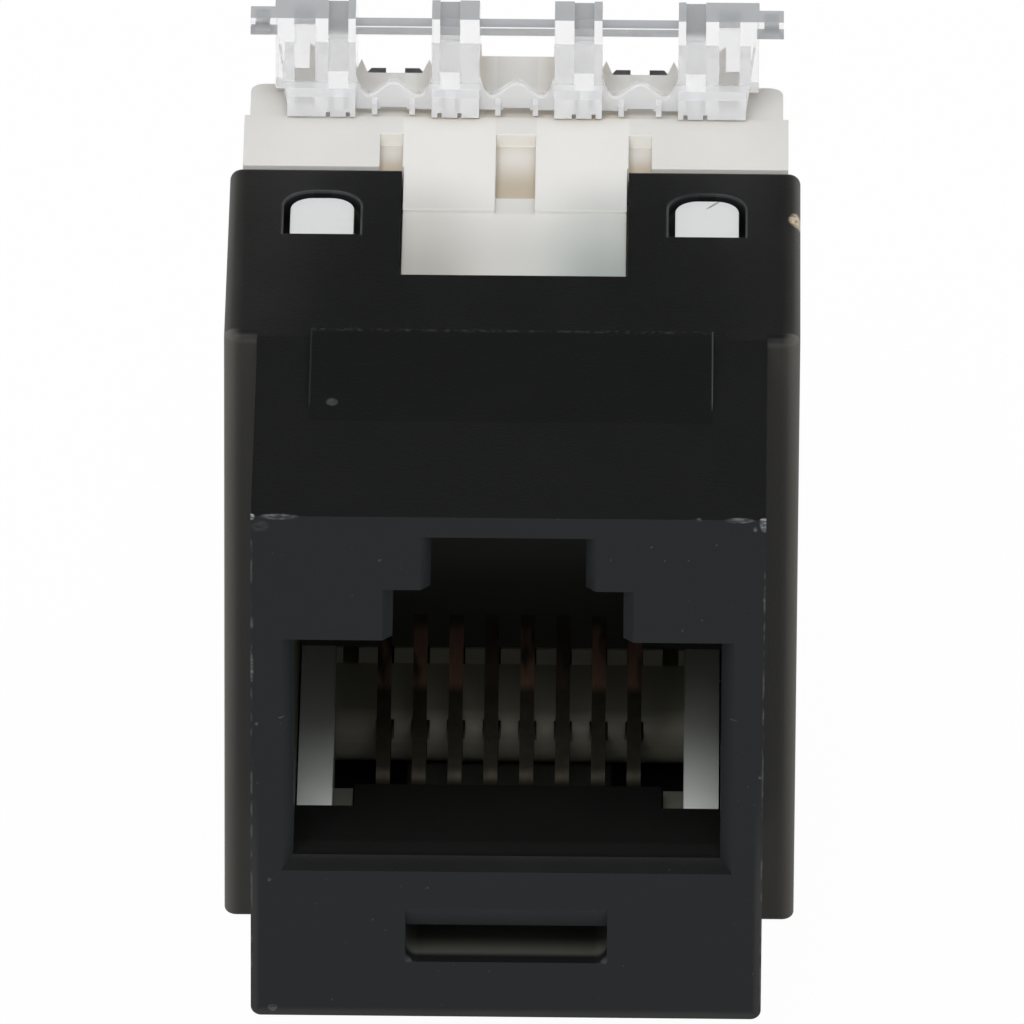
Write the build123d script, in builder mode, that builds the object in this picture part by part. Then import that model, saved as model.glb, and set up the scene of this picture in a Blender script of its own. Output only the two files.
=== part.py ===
"""Keystone jack: an eight-contact modular socket that snaps into a panel.

The black housing carries the plug port in its nose, a shoulder that stops
against the panel, a springy latch arm below and four corner tabs behind.  The
ivory terminal block snaps between those tabs over four bumps and holds two rows
of insulation-displacement forks.  A clear wire cap presses the wires into the
forks and pulls off to the rear.

Millimetres, +Z up, port facing -Y.  The origin is the middle of the base of the
whole part's bounding box.
"""

import os

from build123d import *

# Nose: the part that shows through the panel
nose_wall = 1.195
nose_height = 16.3
nose_corner = 0.3
shoulder_depth = 10.25

# Body behind the shoulder, a step wider than the block each side
block_step = 0.35
body_round = 0.35
top_round = 0.28
foot_height = 2.9
sleeve_length = 3.55
rail_width = 1.02
rail_length = 6.2
rail_round = 0.15

# Plug port: main room, then two steps up for the plug's latch
port_width = 12.04
port_top = 4.0
port_base = 5.1
port_rear_wall = 1.8
port_mouth_chamfer = 0.34
step_chamfer = 0.28
step_widths = (6.48, 4.36)
step_tops = (2.36, 0.65)

# Recess in the front face, below the port
recess_width = 5.7
recess_base = 1.8
recess_height = 1.75
recess_reach = 2.6
recess_round = 0.35
recess_brow_height = 0.7
recess_brow_reach = 0.3

# Fixed wedge on top of the nose, running into the shoulder
wedge_width = 11.4
wedge_length = 4.95
wedge_overlap = 0.1
wedge_rise = 0.18

# Springy latch arm below the nose; the panel fits between catch and shoulder
arm_width = 8.2
arm_gap = 0.3
arm_root_front = 0.55
arm_root_rear = 1.6
arm_channel_height = 1.1
arm_thickness = 0.95
panel_room = 2.05
catch_ramp = 2.2
catch_reach = 0.85
catch_flat = 0.4
arm_tip_reach = 2.0
arm_tip_thickness = 0.6
arm_tip_bevel = 1.4
arm_pad = 3.2
arm_ground_gap = 0.15

# Terminal block, from the outer forks to its sides and behind the sleeve
block_side = 1.35
block_lift = 0.4
block_length = 9.26
rear_inset = 0.15
fit_gap = 0.05

# Corner tabs of the housing that grip the block
tab_inner = 3.25
tab_length = 6.25
tab_thickness = 1.2
tab_corner = 0.35
leg_thickness = 0.97
leg_reach = 3.5
window_side = 1.57
window_width = 2.2
window_setback = 2.32
window_length = 2.5
window_corner = 0.85
bump_gap = 0.19
bump_front_gap = 0.05
bump_sink = 0.12

# Top of the block between the tabs
pad_setback = 3.8
pad_margin = 1.01
pad_rise = 0.12
channel_width = 1.14
channel_setback = 0.9
channel_sink = 0.42
groove_inner = 3.24
groove_outer = 3.9

# Rooms inside the block
board_room_wall = 1.42
board_room_top = 2.0
board_room_length = 2.5
chamber_wall = 1.52
chamber_top = 4.5
chamber_partition = 1.2

# Towers and wire slots behind the block's rear face
wire_slot_width = 0.86
wire_slot_base = 0.64
tower_floor = 4.35
tower_root = 1.0
tower_inset = 1.16
tower_shoulder_reach = 3.06
middle_flat_reach = 3.9
shelf_reach = 2.86
peak_reach = 4.66
low_peak_reach = 3.69
peak_width = 0.45
peak_fall = 0.72
low_peak_width = 0.4
ear_reach = 2.14
ear_round = 0.4

# Insulation-displacement forks, whose width and spacing set the block's width
fork_width = 2.66
fork_spacing = 0.55
fork_middle_space = 1.2
fork_thickness = 0.4
fork_sink = 0.6
fork_seat = 1.86
fork_reach = 3.94
fork_back = 1.5
fork_gap = 0.26
fork_mouth = 0.62
fork_mouth_length = 1.3
fork_throat = 0.6
tine_width = 0.42
fork_web_width = 0.6
fork_pin_width = 0.42
fork_pin_drop = 2.9
room_gap = 0.06

# Contact wires
contact_count = 8
contact_pitch = 1.016
contact_width = 0.4
contact_thickness = 0.34
contact_run_sink = 0.85
contact_bend_depth = 4.8
contact_bend_radius = 0.4
contact_bend_gap = 0.1
contact_end_depth = 9.7
contact_rise = 2.3

# Sled that carries the contact wires: ledges in front, then a round-nosed bar and a comb
sled_front = 3.05
sled_height = 2.15
tongue_rear = 4.26
sled_rail_width = 1.0
sled_step_width = 0.57
sled_step_length = 1.8
sled_sink = 0.5
sled_bar_front = 8.6
sled_bar_round_share = 0.45
sled_comb_front = 11.9
comb_slot_width = 0.45
comb_slot_sink = 0.9
wire_way_gap = 0.06

# Circuit board
board_thickness = 1.6
board_gap = 0.1
contact_hole = 0.72
fork_hole = 0.8

# Clear wire cap
cap_rise = 3.0
cap_front_gap = 0.34
cap_post_length = 1.15
cap_peak_gap = 0.23
cap_back_wall = 1.05
cap_back_top = 2.0
cap_rib_foot = -0.35
cap_rib_seat = 0.5
inner_post_near = 0.85
inner_post_far = 0.52
outer_post_near = 0.5
outer_post_far = 1.82
post_foot_reach = 1.46
cap_slot_width = 0.57
cap_slot_length = 2.2
cap_foot_length = 0.5
cap_foot_rise = 0.7
cap_tooth_gap = 0.12
cap_tooth_rise = 0.2
cap_bar_top = 2.38
cap_bar_height = 0.28
cap_bar_setback = 0.7
cap_bar_length = 0.5
cap_side_wall = 0.22
cap_side_gap = 0.1
cap_pocket_wall = 0.38
cap_pocket_lift = 0.12
cap_overlap = 0.1
web_thickness = 0.4
web_dip = 0.5
web_bump = 0.86
web_side = 1.15
fin_place = 0.54
fin_width = 0.16
fin_rise = 0.42
fin_reach = 0.35
slit_width = 0.76
slit_rise = 0.12
cap_ear_reach = 0.7
cap_ear_length = 0.7
cap_ear_height = 0.55
cap_ear_rim = 0.14
stuffer_width = 0.5
stuffer_length = 2.0
stuffer_top = 1.35
cable_width = 7.4
cable_height = 6.6
cable_round = 2.2

# Widths, worked out from the plug port and from the forks outwards
nose_width = port_width + 2 * nose_wall
half_sled = port_width / 2 - fit_gap
sled_rail_inner = half_sled - sled_rail_width
sled_step_inner = sled_rail_inner - sled_step_width
half_tongue = sled_step_inner - fit_gap
inner_place = (fork_middle_space + fork_width) / 2
outer_place = inner_place + fork_width + fork_spacing
wire_places = (inner_place, outer_place)
half_block = outer_place + fork_width / 2 + block_side
half_body = half_block + block_step
half_board_room = half_block - board_room_wall
half_chamber = half_block - chamber_wall
tower_edge = half_block - tower_inset
window_centre = half_body - window_side - window_width / 2
post_inner = outer_place - outer_post_near
post_outer = outer_place + outer_post_far
post_inner_edges = (inner_place - inner_post_near, post_inner)
post_outer_edges = (inner_place + inner_post_far, post_outer)
outer_post_foot = outer_place + post_foot_reach

# Heights, as drops from the top of the nose
block_height = nose_height - block_lift
middle_drop = block_height / 2
body_height = nose_height + foot_height
port_floor = nose_height - port_base
recess_bottom = nose_height - recess_base
recess_top = recess_bottom - recess_height
recess_room_top = recess_top + recess_brow_height
arm_channel_roof = nose_height - arm_channel_height
contact_run_drop = port_floor + contact_run_sink
contact_end_drop = port_floor - contact_rise
sled_low_top = port_floor + sled_sink
sled_bar_round = sled_bar_round_share * (sled_height - fit_gap - sled_sink)

# Depths from the front face of the nose, worked out towards the rear
wedge_rear = shoulder_depth + wedge_overlap
wedge_front = wedge_rear - wedge_length
catch_depth = shoulder_depth - panel_room
arm_knee = catch_depth - catch_ramp
sleeve_rear = shoulder_depth + sleeve_length
port_rear = sleeve_rear - port_rear_wall
arm_tip = sleeve_rear + arm_tip_reach
rail_rear = sleeve_rear + rail_length
tab_rear = sleeve_rear + tab_length
window_front = sleeve_rear + window_setback
board_room_rear = sleeve_rear + board_room_length
board_front = board_room_rear - board_thickness
chamber_front = board_room_rear + chamber_partition
block_rear = sleeve_rear + block_length
pad_front = sleeve_rear + pad_setback
pad_rear = block_rear - pad_margin
channel_front = pad_front + channel_setback
wire_slot_root = block_rear + wire_slot_base
ear_rear = block_rear + ear_reach
shelf_depth = block_rear + shelf_reach
tower_shoulder_depth = block_rear + tower_shoulder_reach
low_peak_depth = block_rear + low_peak_reach
middle_flat_depth = block_rear + middle_flat_reach
peak_depth = block_rear + peak_reach
fork_base = block_rear - fork_seat
fork_tip = block_rear + fork_reach
cap_front = block_rear + cap_front_gap
cap_foot_front = cap_front - cap_foot_length
cap_slot_root = cap_front + cap_slot_length
cap_bar_front = cap_front + cap_bar_setback
cap_side_front = ear_rear + cap_side_gap
back_front = peak_depth + cap_peak_gap
cap_rear = back_front + cap_back_wall
stuffer_front = back_front - stuffer_length

front_y = -cap_rear / 2


def depth(distance):
    """Y of a place this far behind the front face of the nose."""
    return front_y + distance


def drop(distance):
    """Z of a place this far below the top of the nose."""
    return body_height - distance


def facing(distance):
    """Plane this far behind the front face, with X across and Z up."""
    return Plane.XZ.offset(-depth(distance))


def room(x_limits, depth_limits, drop_limits, mode=Mode.SUBTRACT):
    """Straight-walled room between two limits each way."""
    x_near, x_far = x_limits
    near, far = depth_limits
    upper, lower = drop_limits
    with BuildSketch(facing(near)) as floor_plan:
        with Locations(((x_near + x_far) / 2, (drop(upper) + drop(lower)) / 2)):
            Rectangle(x_far - x_near, lower - upper)
    extrude(floor_plan.sketch, amount=-(far - near), mode=mode)


def side_profile(points, x_near, x_far, mode=Mode.ADD):
    """Outline of depths and drops, seen from the side, between two X limits."""
    with BuildSketch(Plane.YZ.offset(x_near)) as outline:
        with BuildLine():
            Polyline(*[(depth(y), drop(z)) for y, z in points], close=True)
        make_face()
    extrude(outline.sketch, amount=x_far - x_near, mode=mode)


def window_outline(gap, front_gap, sink):
    """Sketch of a tab's window, drawn in by one gap in front and another elsewhere."""
    length = window_length - gap - front_gap
    with BuildSketch(Plane.XY.offset(drop(sink))) as outline:
        with Locations((window_centre, depth(window_front + front_gap + length / 2))):
            Rectangle(window_width - 2 * gap, length)
        fillet(outline.vertices().group_by(Axis.Y)[-1], window_corner - gap)
    return outline.sketch


contact_places = [
    (index - (contact_count - 1) / 2) * contact_pitch for index in range(contact_count)
]
comb_places = [
    (index - (contact_count + 1) / 2) * contact_pitch for index in range(contact_count + 2)
]

# One corner tab: a plate on top and a leg down the side
window_shape = window_outline(0, 0, 0)
with BuildPart() as corner_tab:
    with BuildSketch(facing(sleeve_rear)):
        with BuildLine():
            Polyline(
                (tab_inner, drop(0)),
                (half_body, drop(0)),
                (half_body, drop(leg_reach)),
                (half_body - leg_thickness, drop(leg_reach)),
                (half_body - leg_thickness, drop(tab_thickness)),
                (tab_inner, drop(tab_thickness)),
                close=True,
            )
        make_face()
    extrude(amount=-(tab_rear - sleeve_rear))
    outer_rear = corner_tab.edges().filter_by(Axis.Z).group_by(Axis.X)[-1].sort_by(Axis.Y)[-1]
    fillet(outer_rear, tab_corner)
    extrude(window_shape, amount=-tab_thickness, mode=Mode.SUBTRACT)

middle_plane = Plane.XY.offset(drop(middle_drop))
right_tabs = [corner_tab.part, mirror(corner_tab.part, about=middle_plane)]
all_tabs = right_tabs + [mirror(tab, about=Plane.YZ) for tab in right_tabs]

# Housing
with BuildPart() as housing:
    with BuildSketch(facing(0)):
        with Locations((0, drop(nose_height / 2))):
            nose = Rectangle(nose_width, nose_height)
        fillet(nose.vertices().group_by(Axis.Y)[0], nose_corner)
    extrude(amount=-shoulder_depth)

    with BuildSketch(facing(shoulder_depth)):
        with Locations((0, drop(nose_height / 2))):
            Rectangle(2 * half_body, nose_height)
    extrude(amount=-(sleeve_rear - shoulder_depth))

    # Rails each side of the latch arm, on which the jack stands
    for side in (-1, 1):
        rail_edge = side * (half_body - rail_width)
        room(
            sorted((rail_edge, side * half_body)),
            (shoulder_depth, rail_rear),
            (block_height, body_height),
            mode=Mode.ADD,
        )
    for side in (0, -1):
        front_corner = housing.edges().filter_by(Axis.Z).group_by(Axis.X)[side].sort_by(Axis.Y)[0]
        fillet(front_corner, body_round)
        rail_foot = housing.edges().filter_by(Axis.Y).group_by(Axis.Z)[0].sort_by(Axis.X)[side]
        fillet(rail_foot, rail_round)

    for tab in all_tabs:
        add(tab)
    for side in (0, -1):
        top_edge = housing.edges().filter_by(Axis.Y).group_by(Axis.Z)[-1].sort_by(Axis.X)[side]
        fillet(top_edge, top_round)

    # Wedge on top of the nose, highest at its rear
    side_profile(
        [(wedge_front, 0), (wedge_rear, -wedge_rise), (wedge_rear, 0)],
        -wedge_width / 2,
        wedge_width / 2,
    )

    # Plug port with its two latch steps
    port_levels = zip((port_width,) + step_widths, (port_top,) + step_tops)
    for width, top in port_levels:
        room((-width / 2, width / 2), (0, port_rear), (top, port_floor))
    mouth = housing.faces().filter_by(Axis.Y).sort_by(Axis.Y)[0].edges()
    mouth_sides = [
        edge for edge in mouth.filter_by(Axis.Z) if abs(abs(edge.center().X) - port_width / 2) < 0.01
    ]
    mouth_floor = [
        edge for edge in mouth.filter_by(Axis.X) if abs(edge.center().Z - drop(port_floor)) < 0.01
    ]
    chamfer(mouth_sides + mouth_floor, port_mouth_chamfer)
    front_edges = housing.faces().filter_by(Axis.Y).sort_by(Axis.Y)[0].edges()
    step_limit = (step_widths[0] + port_width) / 4
    step_sides = [edge for edge in front_edges.filter_by(Axis.Z) if abs(edge.center().X) < step_limit]
    chamfer(step_sides, step_chamfer)

    # Room for the contact sled, open to the port and to the rear, and the floor's tongue
    room(
        (-port_width / 2, port_width / 2),
        (sled_front, sleeve_rear),
        (port_floor, port_floor + sled_height),
    )
    room(
        (-half_tongue, half_tongue),
        (sled_front, tongue_rear),
        (port_floor, port_floor + sled_height),
        mode=Mode.ADD,
    )

    # Recess below the port, with a slanting brow
    with BuildSketch(facing(0)) as recess:
        with Locations((0, drop((recess_room_top + recess_bottom) / 2))):
            Rectangle(recess_width, recess_bottom - recess_room_top)
        fillet(recess.vertices().group_by(Axis.Y)[0], recess_round)
    extrude(amount=-recess_reach, mode=Mode.SUBTRACT)
    side_profile(
        [(0, recess_top), (recess_brow_reach, recess_room_top), (0, recess_room_top)],
        -recess_width / 2,
        recess_width / 2,
        mode=Mode.SUBTRACT,
    )

    # Latch arm: freed by a channel, then grown from the front of the nose
    room(
        (-arm_width / 2 - arm_gap, arm_width / 2 + arm_gap),
        (arm_root_rear, sleeve_rear),
        (arm_channel_roof, nose_height),
    )
    arm_low = body_height - arm_ground_gap
    knee_low = arm_low - catch_reach
    side_profile(
        [
            (arm_root_front, nose_height),
            (arm_knee, knee_low),
            (catch_depth - catch_flat, arm_low),
            (catch_depth, arm_low),
            (catch_depth, knee_low),
            (arm_tip - arm_pad, knee_low),
            (arm_tip, arm_low),
            (arm_tip, arm_low - arm_tip_thickness),
            (arm_tip - arm_tip_bevel, knee_low - arm_thickness),
            (arm_knee, knee_low - arm_thickness),
            (arm_root_rear, nose_height - arm_thickness / 2),
            (arm_root_front, nose_height - arm_thickness / 2),
        ],
        -arm_width / 2,
        arm_width / 2,
    )
housing.part.label = "housing"

# Terminal block: one quarter, then mirrored both ways
bump_shape = window_outline(bump_gap, bump_front_gap, bump_sink)
recess_wall = half_body - leg_thickness - fit_gap
with BuildPart() as terminal_block:
    room((0, half_block), (sleeve_rear, block_rear), (0, middle_drop), mode=Mode.ADD)

    # Seat of the corner tab, with the bump that its window snaps over
    tab_seat = (sleeve_rear, tab_rear + fit_gap)
    room((tab_inner - fit_gap, half_block), tab_seat, (0, tab_thickness + fit_gap))
    room((recess_wall, half_block), tab_seat, (0, leg_reach + fit_gap))
    extrude(bump_shape, amount=-(tab_thickness + fit_gap - bump_sink))

    # Top between the tabs: low front, raised pads, channel and side groove
    room((0, tab_inner), (sleeve_rear, pad_front), (0, pad_rise))
    room((0, channel_width / 2), (pad_front, channel_front), (0, pad_rise))
    room((0, channel_width / 2), (channel_front, pad_rear), (0, channel_sink))
    room((groove_inner, groove_outer), (tab_rear, pad_rear), (0, channel_sink))

    # Rooms for the circuit board in front and the fanned-out wires behind
    room((0, half_board_room), (sleeve_rear, board_room_rear), (board_room_top, middle_drop))
    room((0, half_chamber), (chamber_front, block_rear), (chamber_top, middle_drop))

    # Row of towers, seen from above
    inner_slot, outer_slot = wire_places
    slot_half = wire_slot_width / 2
    with BuildSketch(Plane.XY.offset(drop(rear_inset))) as tower_row:
        with BuildLine():
            Polyline(
                (0, depth(block_rear - tower_root)),
                (0, depth(middle_flat_depth)),
                (inner_slot - slot_half - peak_width, depth(middle_flat_depth)),
                (inner_slot - slot_half - peak_width, depth(peak_depth)),
                (inner_slot - slot_half, depth(peak_depth - peak_fall)),
                (inner_slot - slot_half, depth(wire_slot_root)),
                (inner_slot + slot_half, depth(wire_slot_root)),
                (inner_slot + slot_half, depth(shelf_depth)),
                (inner_slot + slot_half + low_peak_width / 2, depth(low_peak_depth)),
                (inner_slot + slot_half + low_peak_width, depth(shelf_depth)),
                (outer_slot - slot_half - low_peak_width, depth(shelf_depth)),
                (outer_slot - slot_half - low_peak_width / 2, depth(low_peak_depth)),
                (outer_slot - slot_half, depth(shelf_depth)),
                (outer_slot - slot_half, depth(wire_slot_root)),
                (outer_slot + slot_half, depth(wire_slot_root)),
                (outer_slot + slot_half, depth(peak_depth - peak_fall)),
                (outer_slot + slot_half + peak_width, depth(peak_depth)),
                (outer_slot + slot_half + peak_width, depth(tower_shoulder_depth)),
                (tower_edge, depth(tower_shoulder_depth)),
                (tower_edge, depth(ear_rear)),
                (half_block - rear_inset, depth(ear_rear)),
                (half_block - rear_inset, depth(block_rear - tower_root)),
                close=True,
            )
        make_face()
        ear_corner = tower_row.vertices().group_by(Axis.X)[-1].sort_by(Axis.Y)[-1]
        fillet(ear_corner, ear_round)
    extrude(amount=-(tower_floor - rear_inset))

    # Slit and room for each fork, and the way for its pin
    for place in wire_places:
        fork_half = fork_width / 2
        web_half = fork_web_width / 2 + room_gap
        pin_half = fork_pin_width / 2 + room_gap
        room(
            (place - fork_half, place + fork_half),
            (fork_base, peak_depth),
            (fork_sink, fork_sink + fork_thickness),
        )
        room(
            (place - web_half, place + web_half),
            (fork_base, wire_slot_root),
            (fork_sink, fork_pin_drop + pin_half),
        )
        room(
            (place - pin_half, place + pin_half),
            (board_room_rear, fork_base),
            (fork_pin_drop - pin_half, fork_pin_drop + pin_half),
        )
    mirror(about=Plane.YZ)
    mirror(about=middle_plane)
terminal_block.part.label = "terminal_block"

# Contact sled: two rails with a round-nosed bar and a comb between them
sled_step_rear = sled_front + sled_step_length
with BuildPart() as contact_sled:
    with BuildSketch(Plane.XY.offset(drop(port_floor))):
        with BuildLine():
            Polyline(
                (-half_sled, depth(sled_front)),
                (-sled_step_inner, depth(sled_front)),
                (-sled_step_inner, depth(sled_step_rear)),
                (-sled_rail_inner, depth(sled_step_rear)),
                (-sled_rail_inner, depth(sled_bar_front)),
                (sled_rail_inner, depth(sled_bar_front)),
                (sled_rail_inner, depth(sled_step_rear)),
                (sled_step_inner, depth(sled_step_rear)),
                (sled_step_inner, depth(sled_front)),
                (half_sled, depth(sled_front)),
                (half_sled, depth(board_front)),
                (-half_sled, depth(board_front)),
                close=True,
            )
        make_face()
    extrude(amount=-(sled_height - fit_gap))
    room(
        (-sled_rail_inner, sled_rail_inner),
        (sled_front, sled_comb_front),
        (port_floor, sled_low_top),
    )
    bar_edges = [
        edge
        for edge in contact_sled.edges().filter_by(Axis.X)
        if abs(edge.center().Y - depth(sled_bar_front)) < 0.01
    ]
    fillet(bar_edges, sled_bar_round)

    # Slots of the comb behind the bar, and the ways for the wires' lower runs
    for place in comb_places:
        room(
            (place - comb_slot_width / 2, place + comb_slot_width / 2),
            (sled_comb_front, board_front),
            (port_floor, port_floor + comb_slot_sink),
        )
    way_half = contact_width / 2 + wire_way_gap
    way_rise = contact_thickness / 2 + wire_way_gap
    for place in contact_places:
        room(
            (place - way_half, place + way_half),
            (sled_bar_front, board_front),
            (contact_run_drop - way_rise, contact_run_drop + way_rise),
        )
contact_sled.part.label = "contact_sled"

# Circuit board with its plated holes
board_width = 2 * (half_board_room - board_gap)
board_height = block_height - 2 * (board_room_top + board_gap)
fork_drops = (fork_pin_drop, block_height - fork_pin_drop)
fork_places = sorted([-place for place in wire_places] + list(wire_places))
with BuildPart() as circuit_board:
    with BuildSketch(facing(board_front)):
        with Locations((0, drop(middle_drop))):
            Rectangle(board_width, board_height)
        with Locations(*[(place, drop(contact_run_drop)) for place in contact_places]):
            Circle(contact_hole / 2, mode=Mode.SUBTRACT)
        with Locations(*[(x, drop(z)) for x in fork_places for z in fork_drops]):
            Circle(fork_hole / 2, mode=Mode.SUBTRACT)
    extrude(amount=-board_thickness)
circuit_board.part.label = "circuit_board"

pieces = [housing, terminal_block, contact_sled, circuit_board]

# Contact wires: each runs back under the comb and springs up over it
for number, place in enumerate(contact_places, start=1):
    with BuildPart() as contact:
        with BuildSketch(Plane.YZ.offset(place - contact_width / 2)):
            with BuildLine() as wire:
                FilletPolyline(
                    (depth(board_room_rear), drop(contact_run_drop)),
                    (depth(contact_bend_depth), drop(contact_run_drop)),
                    (depth(contact_bend_depth), drop(port_floor + contact_bend_gap)),
                    (depth(contact_end_depth), drop(contact_end_drop)),
                    radius=contact_bend_radius,
                )
            trace(wire.line, line_width=contact_thickness)
        extrude(amount=contact_width)
    contact.part.label = f"contact_{number}"
    pieces.append(contact)

# Forks: a slotted blade, a web down and a pin into the board
fork_number = 0
for upright in (True, False):
    for place in fork_places:
        fork_number += 1
        fork_half = fork_width / 2
        with BuildPart() as fork:
            with BuildSketch(Plane.XY.offset(drop(fork_sink))):
                with BuildLine():
                    Polyline(
                        (place - fork_half, depth(fork_base)),
                        (place + fork_half, depth(fork_base)),
                        (place + fork_half, depth(fork_tip)),
                        (place + fork_half - tine_width, depth(fork_tip)),
                        (place + fork_mouth / 2, depth(fork_tip - fork_mouth_length)),
                        (place + fork_gap / 2, depth(fork_tip - fork_mouth_length - fork_throat)),
                        (place + fork_gap / 2, depth(fork_base + fork_back)),
                        (place - fork_gap / 2, depth(fork_base + fork_back)),
                        (place - fork_gap / 2, depth(fork_tip - fork_mouth_length - fork_throat)),
                        (place - fork_mouth / 2, depth(fork_tip - fork_mouth_length)),
                        (place - fork_half + tine_width, depth(fork_tip)),
                        (place - fork_half, depth(fork_tip)),
                        close=True,
                    )
                make_face()
            extrude(amount=-fork_thickness)
            pin_half = fork_pin_width / 2
            room(
                (place - fork_web_width / 2, place + fork_web_width / 2),
                (fork_base, fork_base + fork_thickness),
                (fork_sink, fork_pin_drop + pin_half),
                mode=Mode.ADD,
            )
            room(
                (place - pin_half, place + pin_half),
                (board_front, fork_base + fork_thickness),
                (fork_pin_drop - pin_half, fork_pin_drop + pin_half),
                mode=Mode.ADD,
            )
        fork_part = fork.part if upright else mirror(fork.part, about=middle_plane)
        fork_part.label = f"idc_{fork_number}"
        pieces.append(fork_part)

# Clear wire cap: one quarter, then mirrored both ways
cap_floor = -fit_gap
rib_start = cap_front + cap_post_length
with BuildPart() as wire_cap:
    # Posts with a sloping rib behind each, down to the back wall
    for inner, outer in zip(post_inner_edges, post_outer_edges):
        side_profile(
            [
                (cap_front, cap_floor),
                (cap_front, -cap_rise),
                (rib_start, -cap_rise),
                (cap_rear, cap_rib_foot),
                (cap_rear, cap_back_top + cap_rib_seat),
                (back_front, cap_back_top + cap_rib_seat),
                (back_front, cap_floor),
            ],
            inner,
            outer,
        )
        room(
            (inner, min(outer, outer_post_foot)),
            (cap_foot_front, cap_front),
            (-cap_foot_rise, cap_floor),
            mode=Mode.ADD,
        )

    # Outer post leans in towards its foot
    with BuildSketch(facing(cap_foot_front)):
        with BuildLine():
            Polyline(
                (outer_post_foot, drop(cap_floor)),
                (post_outer + cap_overlap, drop(cap_floor)),
                (post_outer + cap_overlap, drop(-cap_rise)),
                (post_outer, drop(-cap_rise)),
                close=True,
            )
        make_face()
    extrude(amount=-(rib_start - cap_foot_front), mode=Mode.SUBTRACT)

    # Hollow of the outer post
    hollow_inner = wire_places[1] + cap_slot_width / 2 + cap_pocket_wall
    side_profile(
        [
            (cap_front + cap_pocket_wall, cap_floor),
            (cap_front + cap_pocket_wall, -cap_rise + cap_pocket_wall),
            (rib_start - cap_pocket_wall / 2, -cap_rise + cap_pocket_wall),
            (back_front, cap_floor - cap_pocket_lift),
            (back_front, cap_floor),
        ],
        hollow_inner,
        outer_post_foot - cap_pocket_wall / 2,
        mode=Mode.SUBTRACT,
    )

    # Wire slots, open to the front and the top, and the teeth of each foot
    for place in wire_places:
        room(
            (place - cap_slot_width / 2, place + cap_slot_width / 2),
            (cap_front, cap_slot_root),
            (-cap_rise, cap_floor),
        )
        for offset in (-cap_slot_width / 2, cap_slot_width / 2):
            tooth_gap = place + offset
            room(
                (tooth_gap - cap_tooth_gap / 2, tooth_gap + cap_tooth_gap / 2),
                (cap_foot_front, cap_front),
                (-cap_tooth_rise, cap_floor),
            )

    # Bar across the posts
    room(
        (0, post_inner + cap_overlap),
        (cap_bar_front, cap_bar_front + cap_bar_length),
        (-cap_bar_top, -cap_bar_top + cap_bar_height),
        mode=Mode.ADD,
    )

    # Saddle-edged web in each gap, with two fins and a slit at its foot
    gap_centre = (post_outer_edges[0] + post_inner_edges[1]) / 2
    half_gap = (post_inner_edges[1] - post_outer_edges[0]) / 2
    for centre in (0, gap_centre):
        with BuildSketch(facing(cap_front)):
            with BuildLine():
                Spline(
                    (centre - half_gap, drop(-web_side)),
                    (centre - half_gap / 2, drop(-web_dip)),
                    (centre, drop(-web_bump)),
                    (centre + half_gap / 2, drop(-web_dip)),
                    (centre + half_gap, drop(-web_side)),
                )
                Polyline(
                    (centre + half_gap, drop(-web_side)),
                    (centre + half_gap, drop(cap_floor)),
                    (centre - half_gap, drop(cap_floor)),
                    (centre - half_gap, drop(-web_side)),
                )
            make_face()
        extrude(amount=-web_thickness)
        room(
            (centre - slit_width / 2, centre + slit_width / 2),
            (cap_front, cap_front + web_thickness),
            (-slit_rise, cap_floor),
        )
        for side in (-1, 1):
            fin = centre + side * fin_place
            room(
                (fin - fin_width / 2, fin + fin_width / 2),
                (cap_front - fin_reach, cap_front),
                (-fin_rise, cap_floor),
                mode=Mode.ADD,
            )

    # Ear loop at the top of the outer post
    ear_limits = (cap_front, cap_front + cap_ear_length)
    ear_top, ear_bottom = -cap_rise, -cap_rise + cap_ear_height
    room(
        (post_outer - cap_overlap, post_outer + cap_ear_reach),
        ear_limits,
        (ear_top, ear_bottom),
        mode=Mode.ADD,
    )
    room(
        (post_outer + cap_ear_rim, post_outer + cap_ear_reach - cap_ear_rim),
        ear_limits,
        (ear_top + cap_ear_rim, ear_bottom - cap_ear_rim),
    )

    # Side wall, back wall with the cable's way through, and stuffer blades
    room(
        (post_outer - cap_side_wall, post_outer),
        (cap_side_front, cap_rear),
        (cap_floor, middle_drop),
        mode=Mode.ADD,
    )
    room((0, post_outer), (back_front, cap_rear), (cap_back_top, middle_drop), mode=Mode.ADD)
    for place in wire_places:
        room(
            (place - stuffer_width / 2, place + stuffer_width / 2),
            (stuffer_front, back_front),
            (stuffer_top, tower_floor),
            mode=Mode.ADD,
        )
    mirror(about=Plane.YZ)
    mirror(about=middle_plane)
    with BuildSketch(facing(back_front)):
        with Locations((0, drop(middle_drop))):
            RectangleRounded(cable_width, cable_height, cable_round)
    extrude(amount=-cap_back_wall, mode=Mode.SUBTRACT)
wire_cap.part.label = "wire_cap"
pieces.append(wire_cap)

os.makedirs("parts", exist_ok=True)
for piece in pieces:
    solid = piece.part if isinstance(piece, BuildPart) else piece
    export_step(solid, f"parts/{solid.label}.step")
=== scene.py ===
"""Finish, light and camera for the keystone jack, laid out as a Blender add-on.

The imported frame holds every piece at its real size.  This script gives each of
them its plastic or metal, softens the moulded edges and sets the studio.
Lengths are metres unless a name says otherwise.  A place on the jack is given to
the right of its middle, as depth behind the nose's front face and as drop below
the nose's top edge, so that a drop under zero is above that edge.
"""

import math

import bpy
from bpy.props import FloatProperty, FloatVectorProperty, PointerProperty
from mathutils import Matrix, Vector


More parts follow.
